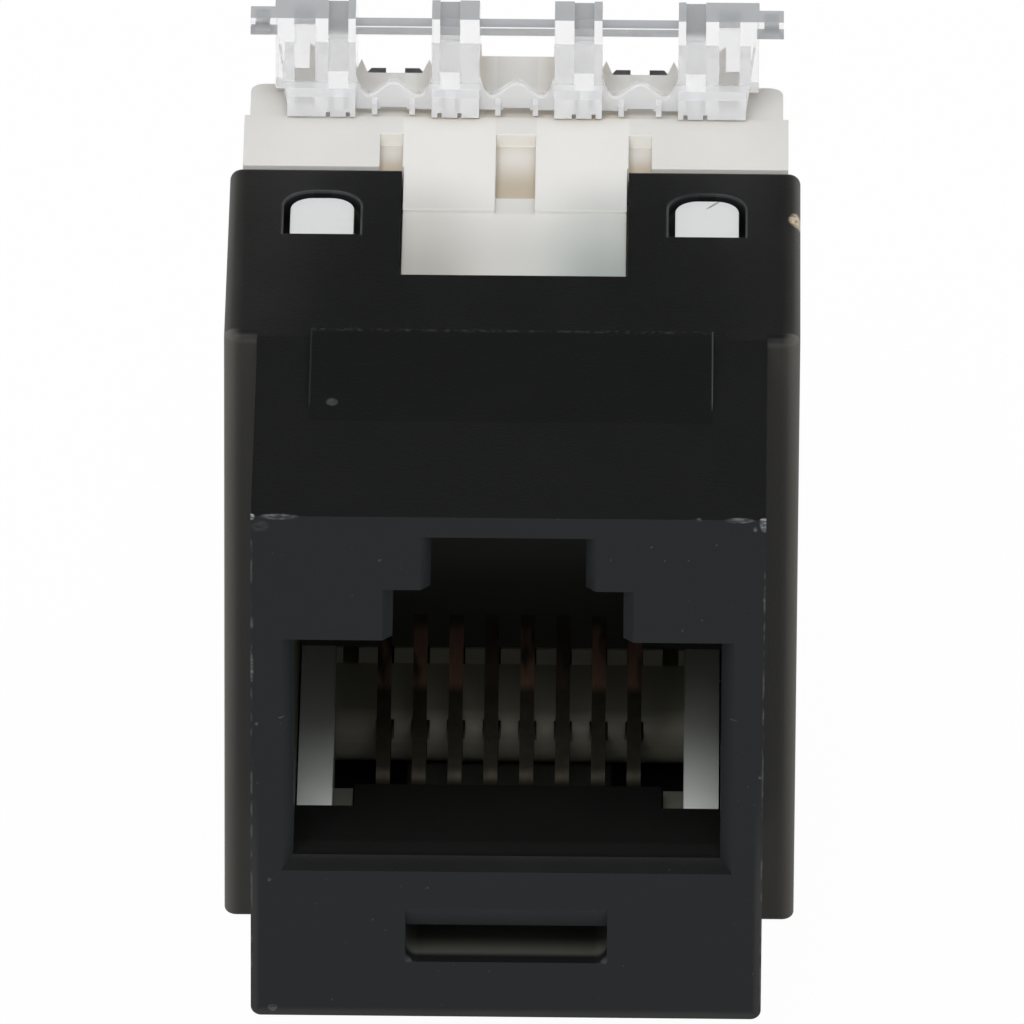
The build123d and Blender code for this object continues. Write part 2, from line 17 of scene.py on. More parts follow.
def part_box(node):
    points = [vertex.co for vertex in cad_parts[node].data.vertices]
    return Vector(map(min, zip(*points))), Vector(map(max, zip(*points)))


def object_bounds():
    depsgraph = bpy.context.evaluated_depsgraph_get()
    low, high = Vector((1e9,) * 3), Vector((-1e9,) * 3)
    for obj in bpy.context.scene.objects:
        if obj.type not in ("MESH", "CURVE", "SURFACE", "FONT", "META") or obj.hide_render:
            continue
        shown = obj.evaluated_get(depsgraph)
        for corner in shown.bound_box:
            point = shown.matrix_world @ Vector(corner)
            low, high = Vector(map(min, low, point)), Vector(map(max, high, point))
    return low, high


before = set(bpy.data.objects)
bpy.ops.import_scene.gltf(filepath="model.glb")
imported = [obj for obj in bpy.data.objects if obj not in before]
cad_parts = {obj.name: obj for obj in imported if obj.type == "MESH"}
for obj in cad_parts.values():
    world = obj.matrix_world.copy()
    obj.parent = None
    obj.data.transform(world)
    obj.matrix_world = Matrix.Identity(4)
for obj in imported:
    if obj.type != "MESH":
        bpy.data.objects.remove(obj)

bl_info = {
    "name": "Keystone Jack Finish",
    "version": (1, 0, 0),
    "blender": (4, 5, 0),
    "location": "View3D > Sidebar > Keystone",
    "description": "Plastics, metals, edge wear and studio of a keystone jack",
    "category": "Object",
}

MM = 0.001

# Corners of the whole frame and of the pieces that others are placed by
FRAME_LOW, FRAME_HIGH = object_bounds()
HOUSING_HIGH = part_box("housing")[1]
BLOCK_LOW, BLOCK_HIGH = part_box("terminal_block")
CAP_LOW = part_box("wire_cap")[0]
NOSE_TOP = BLOCK_HIGH.z
FRONT = FRAME_LOW.y

# Half widths, from the middle outwards
CHANNEL_HALF = 0.59 * MM
RECESS_HALF = 2.9 * MM
TAB_INNER = 3.25 * MM
GROOVE_OUTER = 3.96 * MM
COMB_HALF = 5.0 * MM
WEDGE_HALF = 5.64 * MM
PORT_HALF = 6.02 * MM
NOSE_HALF = 7.215 * MM
BODY_HALF = HOUSING_HIGH.x

# Depths of the shoulder, the sleeve's rear edge, the pads' front edge and the cap's front
SHOULDER = 10.25 * MM
SLEEVE = BLOCK_LOW.y - FRONT
PADS = SLEEVE + 3.8 * MM
CAP_FRONT = CAP_LOW.y - FRONT

# Drops of the port's floor, the recess below it and the nose's base
PORT_FLOOR = 11.8 * MM
RECESS_TOP = 12.6 * MM
RECESS_BASE = 14.65 * MM
NOSE_BASE = 16.0 * MM

# Windows of the tabs: middle and half width, depths and radius of the rear corners
WINDOW_PLACE = 5.5 * MM
WINDOW_HALF = 1.1 * MM
WINDOW_FRONT = SLEEVE + 2.32 * MM
WINDOW_REAR = WINDOW_FRONT + 2.5 * MM
WINDOW_ROUND = 0.85 * MM

# Over this length, or a few times it, a tone passes into the next
FADE = 0.05 * MM

# Marks on the nose's front face: place to the right and drop, reach each way, all in
# millimetres, and strength
FRONT_MARKS = (
    (-7.19, 0.03, 0.10, 0.12, 1.0),
    (-6.43, 0.03, 0.62, 0.10, 0.35),
    (-6.95, 0.33, 0.28, 0.22, 0.08),
    (6.47, 0.03, 0.48, 0.08, 0.45),
    (7.15, 0.05, 0.14, 0.36, 0.85),
    (6.91, 0.30, 0.07, 0.09, 0.35),
    (5.33, 0.02, 0.10, 0.05, 0.15),
    (-7.18, 4.95, 0.06, 0.55, 0.45),
    (-7.18, 3.45, 0.06, 0.26, 0.2),
    (-7.05, 6.75, 0.05, 0.07, 0.25),
    (-6.69, 11.85, 0.07, 0.06, 0.25),
    (-6.60, 16.05, 0.16, 0.14, 0.3),
    (7.12, 8.34, 0.06, 0.08, 0.3),
    (7.18, 2.58, 0.05, 0.08, 0.3),
    # Painted highlights at the recess's lower corners
    (-2.76, 14.42, 0.12, 0.14, 0.12),
    (2.76, 14.42, 0.12, 0.14, 0.12),
    (-6.32, 6.54, 0.16, 0.025, 0.3),
    (6.32, 6.50, 0.16, 0.025, 0.3),
)

# Single marks: place as right, depth and drop, and reach along each
SCRAPE_PLACE = (BODY_HALF, 17.2 * MM, 0.0)
SCRAPE_REACH = (0.38 * MM, 0.5 * MM, 0.55 * MM)
DOT_PLACE = (-5.04 * MM, 6.4 * MM, 0.0)
DOT_REACH = (0.2 * MM, 0.24 * MM, 1.0 * MM)
TICK_PLACE = (5.67 * MM, WINDOW_REAR - 0.42 * MM, 0.0)
TICK_REACH = (0.06 * MM, 0.3 * MM, 0.9 * MM)

# Lamps: name, place, width of the square, and the setting that gives the power
LAMPS = (
    ("key_lamp", (-0.04, -0.24, 0.42), 0.28, "key_power"),
    ("left_lamp", (-0.35, 0.02, 0.12), 0.20, "side_power"),
    ("right_lamp", (0.35, 0.02, 0.12), 0.20, "side_power"),
)

CONTACTS = sorted(
    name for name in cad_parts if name.startswith("contact_") and name[8:].isdigit()
)
FORKS = sorted(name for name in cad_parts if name.startswith("idc_"))
DULLED_CONTACTS = ("contact_4", "contact_6")


def colour_property(name, description, default):
    """Colour setting shown as a swatch in the sidebar."""
    return FloatVectorProperty(
        name=name, description=description, default=default, subtype="COLOR", size=3, min=0.0, max=1.0
    )


def length_property(name, description, default):
    """Length setting in metres."""
    return FloatProperty(
        name=name, description=description, default=default, unit="LENGTH", min=0.0, precision=6
    )


def angle_property(name, description, degrees):
    """Angle setting, given in degrees."""
    return FloatProperty(
        name=name, description=description, default=math.radians(degrees), subtype="ANGLE"
    )


def share_property(name, description, default):
    """Setting from 0 to 1."""
    return FloatProperty(name=name, description=description, default=default, min=0.0, max=1.0)


class KeystonePlastics(bpy.types.PropertyGroup):
    """Colours and gloss of the moulded pieces."""

    black: colour_property("Black", "Colour of the housing's resin", (0.0056, 0.0070, 0.0086))
    # Painted shade: the resin made darker where it faces up
    black_top_shade: colour_property("Black tops", "The same where it faces up", (0.0024, 0.0027, 0.0028))
    # Paler resin: painted light on the shoulder's front faces, and paler patches on the body's outer tops
    black_pale: colour_property("Black dust", "Dusty resin on the shoulder", (0.044, 0.043, 0.040))
    # Painted light: lighter resin inside the port, and lighter still in the recess below it
    black_inside_lit: colour_property("Black inside", "Resin inside the port", (0.056, 0.058, 0.047))
    black_roughness: share_property("Black roughness", "Fine matte moulded surface", 0.48)
    black_gloss: share_property("Black gloss", "Specular level of the housing", 0.26)
    ivory: colour_property("Ivory", "Colour of the terminal block", (0.77, 0.76, 0.735))
    # Painted shade: darker yellowish tone for creases and channels
    ivory_warm_shade: colour_property("Ivory creases", "Warm tone in creases and channels", (0.50, 0.43, 0.33))
    # Painted shade: bumps in the windows made darker and cooler
    ivory_bump_shade: colour_property("Ivory bumps", "Cooler bumps in the tabs' windows", (0.64, 0.675, 0.68))
    # Painted shade: dim tones by the tabs
    ivory_left: colour_property("Ivory left", "Dim tone by the left tab", (0.385, 0.37, 0.34))
    ivory_right: colour_property("Ivory right", "Dim tone by the right tab", (0.32, 0.352, 0.335))
    ivory_light: colour_property("Ivory light", "Lit rear walls of the channels", (0.94, 0.93, 0.90))
    ivory_roughness: share_property("Ivory roughness", "Satin moulded surface", 0.42)
    sled_rail: colour_property("Sled rails", "Rails that stand in the port's light", (0.82, 0.86, 0.83))
    # Painted shade: darker tone of the bar and comb deep in the port
    sled: colour_property("Sled bar", "Grimy bar and comb of the sled", (0.36, 0.35, 0.28))
    # Painted shade: darker ledges at the sled's front
    sled_ledge_shade: colour_property("Sled ledges", "Dark ledges at the sled's front", (0.13, 0.13, 0.11))
    clear: colour_property("Clear", "Haze in the wire cap", (0.95, 0.96, 0.98))
    # Painted shade: grey haze where it faces up; painted highlight: white haze on the posts' feet
    clear_top_shade: colour_property("Clear tops", "The same where it faces up", (0.38, 0.395, 0.41))
    clear_haze: share_property("Clear haze", "How milky the wire cap is", 0.10)
    clear_haze_top_shade: share_property("Clear haze on tops", "The same where it faces up", 0.85)
    clear_haze_foot_highlight: share_property("Clear haze on feet", "The same on the posts' feet", 0.6)
    clear_roughness: share_property("Clear roughness", "Polish of the wire cap", 0.04)
    edge: length_property("Edge", "Radius of the moulded edges", 0.05 * MM)


class KeystoneMetals(bpy.types.PropertyGroup):
    """Colours of the metal pieces and of the board."""

    # Painted shade: the wire made dark as it lies in the port's shade
    wire_shade: colour_property("Tarnish", "Dull lower part of a contact wire", (0.050, 0.045, 0.034))
    copper: colour_property("Copper", "Bare alloy near a wire's free end", (0.34, 0.20, 0.14))
    # Painted shade: darker free end in the shade of the port's ceiling
    tip_shade: colour_property("Tip", "Greyed free end of a wire", (0.11, 0.105, 0.085))
    tin: colour_property("Tin", "Plating of the forks", (0.52, 0.52, 0.54))
    board: colour_property("Board", "Solder mask", (0.012, 0.11, 0.045))
    wire_roughness: share_property("Wire roughness", "Dulled contact wires", 0.62)
    metal_roughness: share_property("Metal roughness", "Drawn and stamped surface", 0.34)


class KeystoneWear(bpy.types.PropertyGroup):
    """Scuffs and marks that the used jack shows, with a painted halo and painted highlights on some edges.
    """

    # Pale colour of the rubbed edges and specks, also used for the painted highlights round the wedge and
    # the windows
    scuff_and_highlight: colour_property("Scuff", "Whitened resin on rubbed edges", (0.17, 0.18, 0.18))
    # Whitened resin at knocks, also used for the painted highlights at the recess's lower corners
    chip_and_highlight: colour_property("Chip", "Whitened resin at knocks and corners", (0.36, 0.38, 0.38))
    tan: colour_property("Tan mark", "Scrape on the right tab's edge", (0.60, 0.50, 0.36))
    # Painted halo: pale glow round the body's outer edges and the nose's lower half
    painted_halo: colour_property("Rubbed rims", "Resin polished pale on outer edges", (0.15, 0.145, 0.13))
    scuff_width: length_property("Scuff width", "Width of the rubbed line on an edge", 0.07 * MM)
    edge_share: share_property("Edge wear", "Strength of the rubbed front edges", 0.5)
    speck_share: share_property("Specks", "Strength of the pale specks", 0.3)
    # Painted highlights: strength of the pale lines round the wedge and the windows
    highlight_share: share_property("Thin lines", "Strength round the wedge and the windows", 0.3)
    dot_share: share_property("Dot", "Strength of the ejector's dot", 0.45)
    tick_share: share_property("Tick", "Strength of the dark tick on a bump", 0.75)


class KeystoneStage(bpy.types.PropertyGroup):
    """Camera, lamps and floor."""

    azimuth: angle_property("Azimuth", "Turn of the camera to the right", 0.42)
    elevation: angle_property("Elevation", "Height of the camera", 30.0)
    roll: angle_property("Roll", "Tilt of the camera about its view", 0.32)
    distance: length_property("Distance", "From the nose's top edge to the camera", 0.7)
    lens: FloatProperty(name="Lens", description="Focal length in millimetres", default=880.0, min=1.0)
    aim_right: length_property("Aim right", "Where the camera looks, to the right", 0.1 * MM)
    aim_up: length_property("Aim up", "Where the camera looks, above the nose", 0.2 * MM)
    fill_low: share_property("Low fill", "Soft light from the horizon", 0.15)
    fill_high: share_property("High fill", "Soft light from overhead", 0.7)
    ceiling: share_property("Ceiling", "Brightness above the backdrop in reflections", 0.03)
    clear_ceiling: share_property("Clear ceiling", "The same through the clear cap", 0.5)
    backdrop_top: share_property("Backdrop top", "Rise of the white backdrop's top edge", 0.0)
    backdrop_side: share_property("Backdrop side", "How much higher it is at the sides", 0.6)
    key_power: FloatProperty(name="Key power", description="Watts of the key lamp", default=1.3, min=0.0)
    side_power: FloatProperty(
        name="Side power", description="Watts of each side lamp", default=0.15, min=0.0
    )
    floor: colour_property("Floor", "Colour of the floor", (0.86, 0.86, 0.86))
    floor_bounce: colour_property("Floor bounce", "Colour that it throws back", (0.3, 0.3, 0.3))
    floor_glow: share_property("Floor glow", "How much of the seen floor is plain white", 0.97)
    floor_shine: share_property("Floor shine", "The same for the floor in reflections", 0.72)


SETTINGS = {
    "keystone_plastics": KeystonePlastics,
    "keystone_metals": KeystoneMetals,
    "keystone_wear": KeystoneWear,
    "keystone_stage": KeystoneStage,
}


class Sock:
    """A shader output on which arithmetic adds Math nodes."""

    def __init__(self, finish, socket):
        self.finish = finish
        self.socket = socket

    def math(self, operation, *values):
        """One Math node with these values in order."""
        return self.finish.node("ShaderNodeMath", {"operation": operation}, dict(enumerate(values)))

    def __add__(self, other):
        return self.math("ADD", self, other)

    def __radd__(self, other):
        return self.math("ADD", other, self)

    def __sub__(self, other):
        return self.math("SUBTRACT", self, other)

    def __rsub__(self, other):
        return self.math("SUBTRACT", other, self)

    def __mul__(self, other):
        return self.math("MULTIPLY", self, other)

    def __rmul__(self, other):
        return self.math("MULTIPLY", other, self)

    def __abs__(self):
        return self.math("ABSOLUTE", self)


class Finish:
    """A material, or the world, written one node at a time."""

    def __init__(self, tree):
        self.tree = tree
        self.tree.nodes.clear()

    def node(self, kind, settings=None, values=None, output=0):
        """Adds a node: its settings first, then its sockets' values or links."""
        made = self.tree.nodes.new(kind)
        for name, value in (settings or {}).items():
            setattr(made, name, value)
        for name, value in (values or {}).items():
            if isinstance(value, Sock):
                self.tree.links.new(value.socket, made.inputs[name])
            else:
                made.inputs[name].default_value = value
        return Sock(self, made.outputs[output]) if made.outputs else None

    def vector(self, operation, *values, output=0):
        """One Vector Math node with these values in order."""
        return self.node("ShaderNodeVectorMath", {"operation": operation}, dict(enumerate(values)), output)

    def parts(self, vector):
        """X, Y and Z of a vector."""
        split = self.node("ShaderNodeSeparateXYZ", {}, {0: vector}).socket.node
        return [Sock(self, part) for part in split.outputs]

    def where(self):
        """Coordinates on the piece, in metres."""
        return self.node("ShaderNodeTexCoord", output="Object")

    def place(self, where):
        """Right, depth and drop on the piece, as one vector."""
        return self.vector("MULTIPLY_ADD", where, (1.0, 1.0, -1.0), (0.0, -FRONT, NOSE_TOP))

    def facing(self):
        """How far the surface faces along each axis of the piece, from -1 to 1."""
        return self.parts(self.node("ShaderNodeTexCoord", output="Normal"))

    def ray(self, kind):
        """1 for rays of this kind, such as Camera, and 0 for others."""
        return self.node("ShaderNodeLightPath", output=f"Is {kind} Ray")

    def mix(self, share, low, high):
        """Colour between two colours."""
        return self.node(
            "ShaderNodeMix", {"data_type": "RGBA"}, {0: share, 6: opaque(low), 7: opaque(high)}, output=2
        )

    def step(self, value, low, high, full=1.0):
        """Smooth rise from 0 to a full value as a value goes from low to high, or back from high to low."""
        return self.node(
            "ShaderNodeMapRange",
            {"interpolation_type": "SMOOTHSTEP"},
            {"Value": value, "From Min": low, "From Max": high, "To Max": full},
        )

    def noise(self, where, grain, detail=2.0, stretch=(1.0, 1.0, 1.0)):
        """Noise with this grain in metres, drawn out by a factor along each axis."""
        drawn = self.vector("DIVIDE", where, stretch)
        return self.node("ShaderNodeTexNoise", {}, {"Vector": drawn, "Scale": 1 / grain, "Detail": detail})

    def near(self, place, centre, reach, full=1.0):
        """A full value at a centre and 0 beyond a reach along each axis, all in metres."""
        widening = [1 / extent for extent in reach]
        offset = [-middle / extent for middle, extent in zip(centre, reach)]
        away = self.vector("MULTIPLY_ADD", place, widening, offset)
        return self.step(self.vector("DOT_PRODUCT", away, away, output=1), 1.0, 0.25, full)

    def bump(self, height, depth):
        """Normal of a surface raised by a height from 0 to 1 times a depth in metres."""
        return self.node("ShaderNodeBump", {}, {"Height": height, "Distance": depth, "Strength": 1.0})

    def math_max(self, first, second):
        """The greater of two values."""
        return self.node("ShaderNodeMath", {"operation": "MAXIMUM"}, {0: first, 1: second})

    def principled(self, values):
        """Principled shader with these sockets."""
        return self.node("ShaderNodeBsdfPrincipled", {}, values)

    def show(self, surface):
        """Joins a shader to the material's output."""
        self.node("ShaderNodeOutputMaterial", {}, {"Surface": surface})


def opaque(colour):
    """RGBA of an RGB colour; a socket passes through."""
    return colour if isinstance(colour, Sock) else (*colour, 1.0)


def scaled(colour, factor):
    """A colour made darker or lighter by a factor."""
    return [factor * part for part in colour]


def new_finish(name):
    """Empty node material and its writer."""
    material = bpy.data.materials.new(name)
    material.use_nodes = True
    return material, Finish(material.node_tree)


def housing_painted_light(finish, parts):
    """Masks of painted light: the recess below the port, the shoulder's faces and the port's inside, all
    made lighter.
    """
    right, depth, drop = parts
    behind_face = finish.step(depth, 0.3 * MM, 0.6 * MM)
    recess = (
        behind_face
        * finish.step(abs(right), RECESS_HALF + FADE, RECESS_HALF - FADE)
        * finish.step(drop, RECESS_TOP - 2 * FADE, RECESS_TOP + 2 * FADE)
        * finish.step(drop, RECESS_BASE + 3 * FADE, RECESS_BASE - 3 * FADE)
    )
    beside_nose = finish.step(abs(right), NOSE_HALF, NOSE_HALF + FADE)
    shoulder = beside_nose * finish.step(depth, SHOULDER + 5 * FADE, SHOULDER + FADE)
    inside = (
        behind_face
        * finish.step(abs(right), PORT_HALF + 3 * FADE, PORT_HALF + FADE)
        * finish.step(drop, 0.3 * MM, 0.5 * MM)
        * finish.step(drop, PORT_FLOOR + 4 * FADE, PORT_FLOOR - 4 * FADE)
    )
    return recess, shoulder, inside


def housing_halo(finish, parts, body):
    """Mask of the painted halo, a pale glow round the body's outer edges and the nose's lower half."""
    right, depth, drop = parts
    outer = finish.step(abs(right), BODY_HALF - 0.55 * MM, BODY_HALF)
    body_front = finish.step(depth, SHOULDER + 0.42 * MM, SHOULDER + 0.3 * MM)
    body_top = finish.step(drop, 0.32 * MM, 0.22 * MM)
    nose_front = finish.step(depth, 0.3 * MM, 0.15 * MM)
    nose_low = finish.step(drop, 8.0 * MM, 13.0 * MM)
    nose_side = finish.step(abs(right), NOSE_HALF - 0.28 * MM, NOSE_HALF - 0.1 * MM)
    nose_base = finish.step(drop, NOSE_BASE, NOSE_BASE + 0.2 * MM)
    return finish.math_max(
        body * outer * finish.math_max(body_front, 0.3 * body_top),
        0.25 * nose_front * nose_low * finish.math_max(nose_side, nose_base),
    )


def window_highlights(finish, parts, cloud):
    """Mask of the painted highlight along each tab's window edge, whose rear corners are round."""
    right, depth, drop = parts
    straight = WINDOW_HALF - WINDOW_ROUND
    aside = finish.math_max(abs(abs(right) - WINDOW_PLACE) - straight, 0)
    beyond = finish.math_max(depth - (WINDOW_REAR - WINDOW_ROUND), 0)
    squares = aside * aside + beyond * beyond
    to_edge = squares.math("SQRT", squares) - WINDOW_ROUND
    return (
        finish.step(abs(to_edge - 0.02 * MM), 0.06 * MM, 0.02 * MM)
        * finish.step(depth, WINDOW_FRONT - FADE, WINDOW_FRONT)
        * finish.step(drop, 2 * FADE, FADE)
        * (0.35 + 0.65 * finish.step(cloud, 0.35, 0.6))
    )


def wedge_highlights(finish, parts, speckle):
    """Mask of the painted highlights along the wedge's rear edge and sides, most on the right."""
    right, _, drop = parts
    crest = finish.step(drop, -0.172 * MM, -0.178 * MM)
    raised = finish.step(drop, -0.02 * MM, -0.04 * MM)
    side = finish.step(abs(right), WEDGE_HALF, WEDGE_HALF + FADE)
    return finish.math_max(
        0.4 * crest * finish.step(speckle, 0.4, 0.65),
        raised * side * (0.35 + 0.65 * finish.step(right, 0.0, 1.0 * MM)),
    )


def nose_edges(finish, parts, where, width):
    """Mask of the broken rubbed lines down the nose's two front edges."""
    right, depth, _ = parts
    at_front = finish.step(depth, 1.4 * width, 0.4 * width)
    at_side = finish.step(abs(right), NOSE_HALF - width, NOSE_HALF - 0.3 * width)
    dashes = finish.noise(where, 0.22 * MM, 2.0, stretch=(1.0, 1.0, 2.5))
    return at_front * at_side * finish.step(dashes, 0.44, 0.66)


def front_marks(finish, place, where):
    """Mask of the knocks and rubbed places on the nose's front, and of painted highlights at the recess's
    lower corners, broken into streaks.
    """
    marks = 0
    for to_right, down, wide, high, strength in FRONT_MARKS:
        centre = (to_right * MM, 0.0, down * MM)
        mark = finish.near(place, centre, (wide * MM, 0.16 * MM, high * MM), strength)
        marks = finish.math_max(mark, marks)
    streaks = finish.noise(where, 0.10 * MM, 3.0, stretch=(2.5, 1.0, 1.0))
    return marks * (0.2 + 0.8 * finish.step(streaks, 0.38, 0.62))


def black_resin(plastics, wear):
    """Matte black resin with painted shade on its tops, painted light inside the port, in the recess and on
    the shoulder's fronts, a painted halo and painted highlights along some edges, paler outer tops and
    rubbed edges.
    """
    material, finish = new_finish("black_housing")
    where = finish.where()
    place = finish.place(where)
    parts = finish.parts(place)
    right, depth, drop = parts
    grain = finish.noise(where, 0.09 * MM, 3.0)
    cloud = finish.noise(where, 2.2 * MM, 3.0)
    speckle = finish.noise(where, 0.16 * MM, 2.0)
    smear = finish.step(cloud, 0.35, 0.75)

    # Where it faces up, the body and its outer parts, and the lower chamfer of the port's mouth
    top = finish.step(finish.facing()[2], 0.3, 0.68)
    body = finish.step(depth, SHOULDER - 2 * FADE, SHOULDER)
    outside = finish.step(right, -5.0 * MM, -7.7 * MM) + 0.5 * finish.step(right, 5.5 * MM, 7.9 * MM)
    mouth = top * finish.step(drop, 11.0 * MM, 11.4 * MM) * finish.step(depth, 1.2 * MM, 1.0 * MM)

    # Painted light, painted halo and painted highlights, and real wear
    recess, shoulder, inside = housing_painted_light(finish, parts)
    rims = housing_halo(finish, parts, body)
    lines = finish.math_max(wedge_highlights(finish, parts, speckle), window_highlights(finish, parts, cloud))
    edges = nose_edges(finish, parts, where, wear.scuff_width)
    specks = finish.step(speckle, 0.75, 0.79) * finish.step(depth, 0.3 * MM, 0.0)
    marks = front_marks(finish, place, where)
    scraped = finish.step(finish.noise(where, 0.15 * MM, 3.0), 0.4, 0.55)
    scrape = finish.near(place, SCRAPE_PLACE, SCRAPE_REACH) * (0.4 + 0.6 * scraped)
    dot = finish.near(place, DOT_PLACE, DOT_REACH) * speckle

    tone = finish.mix(smear * 0.3, plastics.black, scaled(plastics.black, 1.45))
    # Painted shade: darker where it faces up
    tone = finish.mix(top, tone, plastics.black_top_shade)
    # Paler in clouds on the body's outer tops, more on the left
    tone = finish.mix(top * body * outside * (0.08 + 0.2 * cloud), tone, plastics.black_pale)
    # Painted light: lighter inside the port, less where it faces up
    tone = finish.mix(inside * (1 - 0.93 * top), tone, plastics.black_inside_lit)
    # Painted light: the shoulder's front faces made lighter
    tone = finish.mix(shoulder * (1 - top), tone, plastics.black_pale)
    # Painted light: the recess below the port made lighter
    tone = finish.mix(recess, tone, scaled(plastics.black_inside_lit, 1.25))
    # Painted halo round the body's outer edges and the nose's lower half
    tone = finish.mix(rims * (0.5 + 0.5 * cloud), tone, wear.painted_halo)
    scuffs = finish.math_max(edges * wear.edge_share, specks * wear.speck_share)
    tone = finish.mix(scuffs, tone, wear.scuff_and_highlight)
    # Painted highlights along the wedge's edges and the windows' edges
    tone = finish.mix(lines * wear.highlight_share, tone, wear.scuff_and_highlight)
    # Knocks and rubbed places, and painted highlights at the recess's lower corners
    tone = finish.mix(marks, tone, wear.chip_and_highlight)
    tone = finish.mix(dot * wear.dot_share, tone, wear.scuff_and_highlight)
    tone = finish.mix(scrape, tone, wear.tan)
    rubbed = finish.math_max(edges, marks)
    roughness = plastics.black_roughness + 0.1 * (grain - 0.5) + 0.05 * smear + 0.2 * rubbed + 0.3 * mouth
    surface = finish.principled(
        {
            "Base Color": tone,
            "Roughness": roughness,
            "Specular IOR Level": plastics.black_gloss,
            "Normal": finish.bump(grain, 0.006 * MM),
        }
    )
    finish.show(surface)
    return material


def ivory_surface(finish, plastics, where, tone):
    """Satin, slightly translucent ivory with this colour, joined to the output."""
    grain = finish.noise(where, 0.12 * MM, 2.0)
    surface = finish.principled(
        {
            "Base Color": tone,
            "Roughness": plastics.ivory_roughness + 0.08 * (grain - 0.5),
            "Subsurface Weight": 0.25,
            "Subsurface Radius": (1.0, 0.85, 0.6),
            "Subsurface Scale": 0.6 * MM,
            "Specular IOR Level": 0.4,
            "Normal": finish.bump(grain, 0.003 * MM),
        }
    )
    finish.show(surface)


def block_resin(plastics, wear):
    """Ivory of the terminal block, with painted shade in its creases, channel and grooves, painted light on
    their rear walls, and painted shade dimming it towards the sleeve.
    """
    material, finish = new_finish("ivory_block")
    where = finish.where()
    right, depth, drop = finish.parts(finish.place(where))
    # Painted shade from ambient occlusion in the creases
    openness = finish.node("ShaderNodeAmbientOcclusion", {"samples": 4}, {"Distance": 0.9 * MM}, "AO")
    cloud = finish.noise(where, 3.0 * MM, 2.0)
    crease_shade = finish.step(openness, 0.95, 0.35)

    # Upper side, its strips between and beside the tabs, and what lies deeper in it
    upper = finish.step(drop, 0.9 * MM, 0.6 * MM)
    between = upper * finish.step(abs(right), TAB_INNER + FADE, TAB_INNER - FADE)
    beside = finish.step(abs(right), TAB_INNER - FADE, TAB_INNER + FADE)
    middle = finish.step(abs(right), CHANNEL_HALF + 0.03 * MM, CHANNEL_HALF - 0.03 * MM)
    in_groove = finish.step(abs(right), GROOVE_OUTER + 0.04 * MM, GROOVE_OUTER - 0.04 * MM)
    sunk = upper * finish.step(drop, 0.3 * MM, 0.4 * MM)
    past_sleeve = depth - SLEEVE
    wall = upper * finish.step(finish.facing()[1], -0.4, -0.8)
    wall = wall * finish.step(past_sleeve, 9.8 * MM, 9.6 * MM)

    # Painted shade: dimmer towards the sleeve, most of all along the tabs
    centre_dim = 0.5 * finish.step(past_sleeve, 6.0 * MM, 0.9 * MM)
    centre_dim = centre_dim + 0.15 * middle * finish.step(past_sleeve, 3.7 * MM, 3.9 * MM)
    side_dim = 0.55 * finish.step(past_sleeve, 6.6 * MM, 3.2 * MM)
    side_dim = side_dim + 0.4 * finish.step(past_sleeve, 4.0 * MM, 0.0)
    dim = centre_dim + finish.step(abs(right), 0.4 * MM, 2.5 * MM) * (side_dim - centre_dim)
    dim = dim * between * (1 - 0.6 * wall) * (1 - sunk)
    dimmed = finish.mix(finish.step(right, -1.2 * MM, 1.6 * MM), plastics.ivory_left, plastics.ivory_right)

    # Painted shade down the channel and the grooves, and painted light on their rear walls
    channel = middle * finish.step(past_sleeve, 7.8 * MM, 5.8 * MM)
    channel = channel * (1 - 0.35 * finish.step(past_sleeve, 5.5 * MM, 4.7 * MM))
    groove = in_groove * beside * finish.step(past_sleeve, 7.9 * MM, 6.8 * MM)
    warm_shade = finish.math_max(0.95 * channel, groove) * sunk * (1 - wall)
    lit = wall * in_groove * finish.math_max(middle, beside)
    lit = lit * finish.step(past_sleeve, 6.4 * MM, 6.6 * MM) * finish.step(drop, -0.03 * MM, -0.01 * MM)

    # Soft foot of the pads' front edge, painted shade on the bumps in the tabs' windows, and a tick on one
    foot = between * (1 - middle) * finish.step(abs(depth - PADS), 0.5 * MM, 0.3 * MM)
    bump = beside * upper * finish.step(past_sleeve, 6.1 * MM, 5.9 * MM)
    slanted = right - 0.8 * (depth - TICK_PLACE[1])
    slanted = finish.node("ShaderNodeCombineXYZ", {}, {0: slanted, 1: depth, 2: drop})
    tick = finish.near(slanted, TICK_PLACE, TICK_REACH)

    tone = finish.mix(cloud * 0.25, plastics.ivory, scaled(plastics.ivory, 0.94))
    # Painted shade: a little darker beside the tabs
    tone = finish.mix(beside * 0.2, tone, scaled(plastics.ivory, 0.55))
    # Painted shade on the bumps in the windows
    tone = finish.mix(bump * 0.6, tone, plastics.ivory_bump_shade)
    # Painted shade in creases, less beside the tabs, on the rear walls and at the pads' foot
    painted_crease = crease_shade * (0.65 - 0.3 * beside) * (1 - wall) * (1 - foot)
    tone = finish.mix(painted_crease, tone, plastics.ivory_warm_shade)
    tone = finish.mix(warm_shade, tone, plastics.ivory_warm_shade)
    tone = finish.mix(lit, tone, plastics.ivory_light)
    tone = finish.mix(dim, tone, dimmed)
    tone = finish.mix(tick * wear.tick_share, tone, scaled(plastics.ivory_warm_shade, 0.25))
    ivory_surface(finish, plastics, where, tone)
    return material


